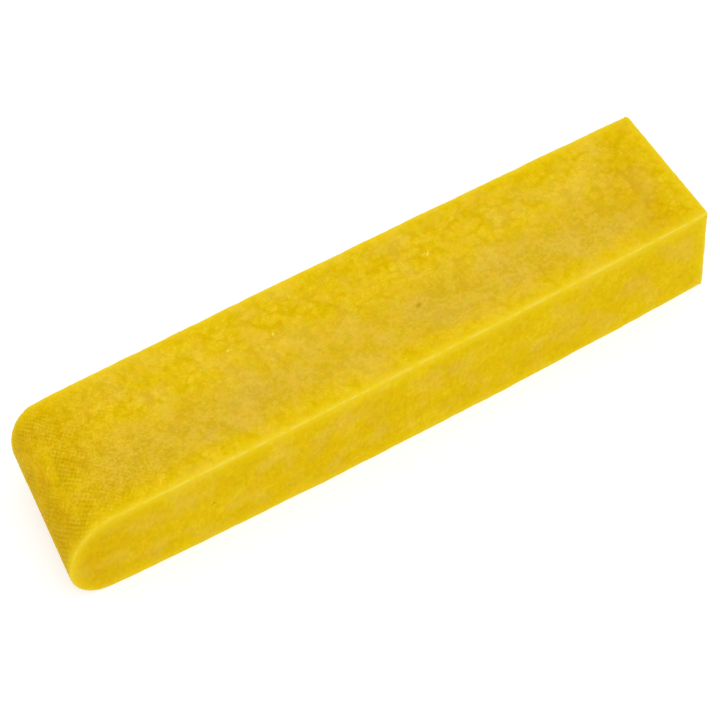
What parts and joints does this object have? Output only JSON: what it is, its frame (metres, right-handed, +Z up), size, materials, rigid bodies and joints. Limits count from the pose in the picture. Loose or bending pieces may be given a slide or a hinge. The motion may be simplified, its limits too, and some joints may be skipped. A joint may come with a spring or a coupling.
{
  "type": "clay bar",
  "caption": "Straight bar of kneadable paint-cleaning clay with one round cloth-pressed end and one square cut end.",
  "frame": {"origin": "middle of the bar's box, on the surface that the bar lies on", "axes": "+X along the bar from the round end to the square cut end, +Y across the bar to the back, +Z up"},
  "size_m": [0.151, 0.0336, 0.024],
  "materials": {
    "clay": "waxy satin, mottled yellow"
  },
  "bodies": {
    "root": {"clay_bar": "clay"}
  },
  "joints": []
}
